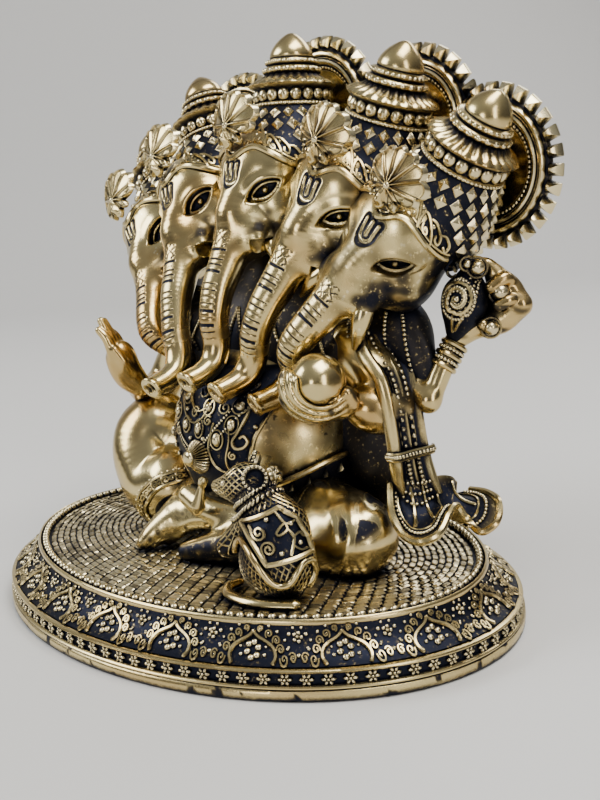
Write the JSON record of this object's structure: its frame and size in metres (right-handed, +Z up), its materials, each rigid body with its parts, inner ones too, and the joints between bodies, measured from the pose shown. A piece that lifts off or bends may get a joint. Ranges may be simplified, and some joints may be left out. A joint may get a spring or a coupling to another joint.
{
  "type": "five-headed deity statuette",
  "caption": "Seated multi-headed elephant deity with tall crowns and studded halos on an oval plinth, a small mouse at its feet; free-standing ornament.",
  "frame": {"origin": "centre of the oval plinth's underside, on the surface it stands on", "axes": "+Z up, the figure faces -Y, +X is the figure's own left, along the plinth's length"},
  "size_m": [0.2, 0.1448, 0.1817],
  "materials": {
    "polished_brass": "antique gold, rubbed bright on the smooth limbs and faces, blue-black patina in the hollows",
    "ornament_brass": "raised cast ornament, bright tops over blue-black patina",
    "dark_patina": "mostly blue-black patina with rubbed gold high spots",
    "plinth_brass": "cast relief with dark patina in the ground, worn lower edge"
  },
  "bodies": {
    "root": {"plinth_foot": "plinth_brass", "plinth_skirt": "plinth_brass", "plinth_deck": "plinth_brass", "deck_bead_ring": "plinth_brass", "belly": "polished_brass", "shoulders": "dark_patina", "waist_belt": "ornament_brass", "necklace": "dark_patina", "sunburst_pendant": "ornament_brass", "right_thigh": "polished_brass", "right_shin": "polished_brass", "right_hem": "ornament_brass", "right_foot": "polished_brass", "left_thigh": "polished_brass", "left_shin": "polished_brass", "left_foot": "polished_brass", "head_1": "polished_brass", "head_2": "polished_brass", "head_3": "polished_brass", "head_4": "polished_brass", "head_5": "polished_brass", "trunk_1": "polished_brass", "trunk_2": "polished_brass", "trunk_3": "polished_brass", "trunk_4": "polished_brass", "trunk_5": "polished_brass", "tusks": "polished_brass", "crown_1": "dark_patina", "crown_2": "dark_patina", "crown_3": "dark_patina", "crown_4": "dark_patina", "crown_5": "dark_patina", "crest_1": "ornament_brass", "crest_2": "ornament_brass", "crest_3": "ornament_brass", "crest_4": "ornament_brass", "crest_5": "ornament_brass", "halo_1": "ornament_brass", "halo_2": "ornament_brass", "halo_3": "ornament_brass", "halo_4": "ornament_brass", "halo_5": "ornament_brass", "right_front_arm": "polished_brass", "right_front_hand": "polished_brass", "left_front_arm": "polished_brass", "left_front_hand": "polished_brass", "sweet": "polished_brass", "right_rear_arm": "polished_brass", "right_rear_hand": "polished_brass", "axe": "dark_patina", "left_rear_arm": "polished_brass", "left_rear_hand": "polished_brass", "conch": "dark_patina", "bangles": "ornament_brass", "sash": "dark_patina", "sash_hem": "ornament_brass", "mouse_body": "polished_brass", "mouse_head": "polished_brass", "mouse_blanket": "dark_patina", "mouse_tail": "polished_brass"}
  },
  "joints": []
}
